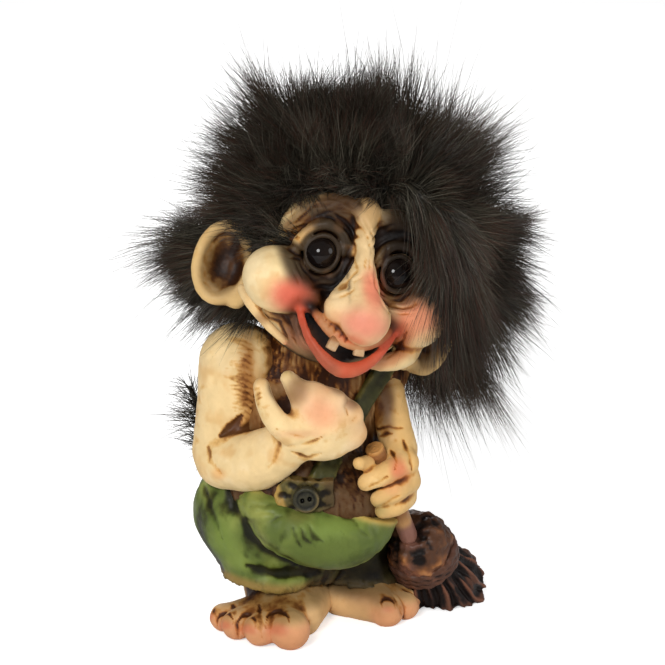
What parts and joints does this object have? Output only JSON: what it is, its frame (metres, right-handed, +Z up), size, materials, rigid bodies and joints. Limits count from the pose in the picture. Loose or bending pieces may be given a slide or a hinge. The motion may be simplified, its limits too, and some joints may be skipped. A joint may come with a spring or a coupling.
{
  "type": "troll figurine",
  "caption": "Standing cast troll ornament with a shaggy fur head of hair, rolled trousers on a buttoned brace, and a twig broom held in its left fist.",
  "frame": {"origin": "centre of the footprint of the whole figure, on the surface that it stands on", "axes": "+Z up along the height, the figure looks along -Y, and its right hand is at -X"},
  "size_m": [0.1364, 0.119, 0.1745],
  "materials": {
    "skin": "satin",
    "trouser_paint": "satin",
    "patch_paint": "satin",
    "button": "satin",
    "eye_glass": "gloss",
    "tooth_paint": "satin",
    "broom_paint": "satin",
    "binding_paint": "satin",
    "fur": "matte"
  },
  "bodies": {
    "root": {"trunk": "skin", "head": "skin", "right_ear": "skin", "left_ear": "skin", "right_arm": "skin", "left_arm": "skin", "right_foot": "skin", "left_foot": "skin", "trousers": "trouser_paint", "brace_strap": "trouser_paint", "strap_patch": "patch_paint", "button": "button", "right_eye": "eye_glass", "left_eye": "eye_glass", "teeth": "tooth_paint", "broom_handle": "broom_paint", "broom_head": "broom_paint", "broom_binding": "binding_paint", "broom_twigs": "broom_paint", "tail": "skin", "tail_brush": "fur", "hair_crown": "fur", "hair_back": "fur", "hair_left": "fur", "hair_right": "fur", "hair_fringe": "fur"}
  },
  "joints": []
}
